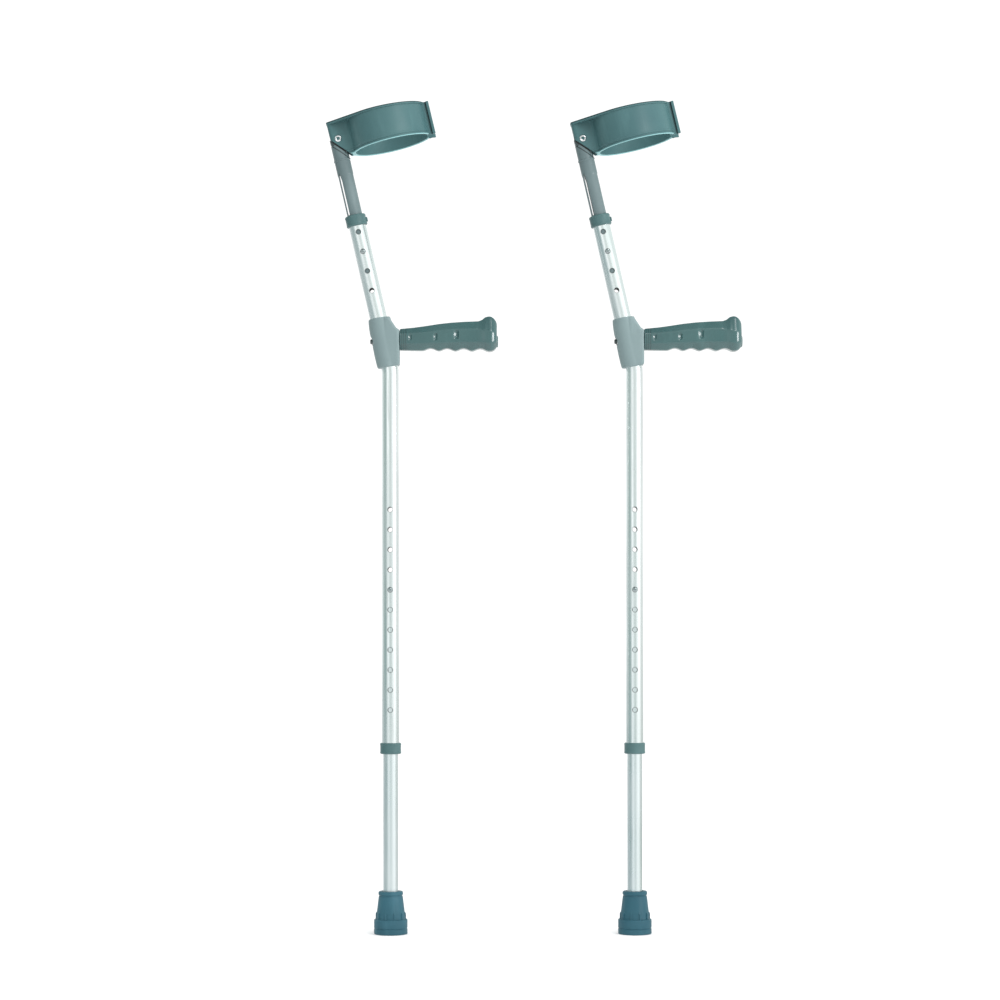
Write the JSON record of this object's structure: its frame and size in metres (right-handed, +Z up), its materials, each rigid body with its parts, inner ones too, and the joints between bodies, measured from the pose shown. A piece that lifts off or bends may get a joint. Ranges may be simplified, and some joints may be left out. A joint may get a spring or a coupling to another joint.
{
  "type": "forearm crutches",
  "caption": "Pair of adjustable forearm crutches: bent tube, sliding leg with rubber foot, snap buttons, bolted grip, and hinged split-ring arm cuff on a sliding upright.",
  "frame": {"origin": "on the floor, midway between the outermost points of the pair, in the plane of both crutches", "axes": "+Z up along the lower tubes, +X the way the grips point, Y across the crutches, the cuffs' rivet heads on the -Y side"},
  "size_m": [0.5271, 0.102, 1.0555],
  "materials": {
    "tube_aluminium": "satin anodised",
    "ferrule_rubber": "matt moulded rubber",
    "plated_steel": "zinc plated",
    "spring_steel": "plain spring steel",
    "button_steel": "polished",
    "collar_plastic": "satin moulded",
    "upright_plastic": "satin moulded",
    "cuff_plastic": "semi-gloss moulded",
    "housing_plastic": "satin moulded",
    "core_nylon": "matt moulded",
    "grip_vinyl": "soft semi-matt",
    "plug_plastic": "gloss moulded"
  },
  "bodies": {
    "frames": {"left_main_tube": "tube_aluminium", "left_leg_collar": "collar_plastic", "left_arm_collar": "collar_plastic", "left_handle_housing": "housing_plastic", "left_handle_core": "core_nylon", "left_handle_bolt": "plated_steel", "left_handle_washer": "plated_steel", "left_grip": "grip_vinyl", "left_grip_plug": "plug_plastic", "right_main_tube": "tube_aluminium", "right_leg_collar": "collar_plastic", "right_arm_collar": "collar_plastic", "right_handle_housing": "housing_plastic", "right_handle_core": "core_nylon", "right_handle_bolt": "plated_steel", "right_handle_washer": "plated_steel", "right_grip": "grip_vinyl", "right_grip_plug": "plug_plastic"},
    "left_leg": {"left_leg_tube": "tube_aluminium", "left_ferrule": "ferrule_rubber", "left_ferrule_disc": "plated_steel", "left_leg_clip_spring": "spring_steel"},
    "left_arm": {"left_upright": "upright_plastic", "left_arm_clip_spring": "spring_steel"},
    "left_cuff": {"left_cuff": "cuff_plastic", "left_cuff_rivet": "plated_steel", "left_rivet_washer": "plated_steel"},
    "left_leg_button_front": {"left_leg_button_front": "button_steel"},
    "left_leg_button_back": {"left_leg_button_back": "button_steel"},
    "left_arm_button_front": {"left_arm_button_front": "button_steel"},
    "left_arm_button_back": {"left_arm_button_back": "button_steel"},
    "right_leg": {"right_leg_tube": "tube_aluminium", "right_ferrule": "ferrule_rubber", "right_ferrule_disc": "plated_steel", "right_leg_clip_spring": "spring_steel"},
    "right_arm": {"right_upright": "upright_plastic", "right_arm_clip_spring": "spring_steel"},
    "right_cuff": {"right_cuff": "cuff_plastic", "right_cuff_rivet": "plated_steel", "right_rivet_washer": "plated_steel"},
    "right_leg_button_front": {"right_leg_button_front": "button_steel"},
    "right_leg_button_back": {"right_leg_button_back": "button_steel"},
    "right_arm_button_front": {"right_arm_button_front": "button_steel"},
    "right_arm_button_back": {"right_arm_button_back": "button_steel"}
  },
  "joints": [
    {"name": "left_leg_slide", "type": "slide", "parent": "frames", "child": "left_leg", "axis": [0, 0, -1], "range_m": [-0.1016, 0.1524], "deforming": ["left_leg_clip_spring", "left_leg_button_front", "left_leg_button_back"]},
    {"name": "left_arm_slide", "type": "slide", "parent": "frames", "child": "left_arm", "axis": [-0.2224, 0, 0.975], "range_m": [-0.0508, 0.0254], "deforming": ["left_arm_clip_spring", "left_arm_button_front", "left_arm_button_back"]},
    {"name": "left_cuff_tilt", "type": "hinge", "parent": "left_arm", "child": "left_cuff", "pos_m": [-0.24865, 0, 1.00873], "axis": [0, -1, 0], "range_deg": [0, 15]},
    {"name": "left_leg_button_front_press", "type": "slide", "parent": "left_leg", "child": "left_leg_button_front", "axis": [0, 1, 0], "range_m": [0, 0.0035], "stiffness_N_per_m": 1500, "deforming": ["left_leg_clip_spring"]},
    {"name": "left_leg_button_back_press", "type": "slide", "parent": "left_leg", "child": "left_leg_button_back", "axis": [0, -1, 0], "range_m": [0, 0.0035], "stiffness_N_per_m": 1500, "deforming": ["left_leg_clip_spring"]},
    {"name": "left_arm_button_front_press", "type": "slide", "parent": "left_arm", "child": "left_arm_button_front", "axis": [0, 1, 0], "range_m": [0, 0.0035], "stiffness_N_per_m": 1500, "deforming": ["left_arm_clip_spring"]},
    {"name": "left_arm_button_back_press", "type": "slide", "parent": "left_arm", "child": "left_arm_button_back", "axis": [0, -1, 0], "range_m": [0, 0.0035], "stiffness_N_per_m": 1500, "deforming": ["left_arm_clip_spring"]},
    {"name": "right_leg_slide", "type": "slide", "parent": "frames", "child": "right_leg", "axis": [0, 0, -1], "range_m": [-0.1016, 0.1524], "deforming": ["right_leg_clip_spring", "right_leg_button_front", "right_leg_button_back"]},
    {"name": "right_arm_slide", "type": "slide", "parent": "frames", "child": "right_arm", "axis": [-0.2224, 0, 0.975], "range_m": [-0.0508, 0.0254], "deforming": ["right_arm_clip_spring", "right_arm_button_front", "right_arm_button_back"]},
    {"name": "right_cuff_tilt", "type": "hinge", "parent": "right_arm", "child": "right_cuff", "pos_m": [0.06135, 0, 1.00873], "axis": [0, -1, 0], "range_deg": [0, 15]},
    {"name": "right_leg_button_front_press", "type": "slide", "parent": "right_leg", "child": "right_leg_button_front", "axis": [0, 1, 0], "range_m": [0, 0.0035], "stiffness_N_per_m": 1500, "deforming": ["right_leg_clip_spring"]},
    {"name": "right_leg_button_back_press", "type": "slide", "parent": "right_leg", "child": "right_leg_button_back", "axis": [0, -1, 0], "range_m": [0, 0.0035], "stiffness_N_per_m": 1500, "deforming": ["right_leg_clip_spring"]},
    {"name": "right_arm_button_front_press", "type": "slide", "parent": "right_arm", "child": "right_arm_button_front", "axis": [0, 1, 0], "range_m": [0, 0.0035], "stiffness_N_per_m": 1500, "deforming": ["right_arm_clip_spring"]},
    {"name": "right_arm_button_back_press", "type": "slide", "parent": "right_arm", "child": "right_arm_button_back", "axis": [0, -1, 0], "range_m": [0, 0.0035], "stiffness_N_per_m": 1500, "deforming": ["right_arm_clip_spring"]}
  ]
}
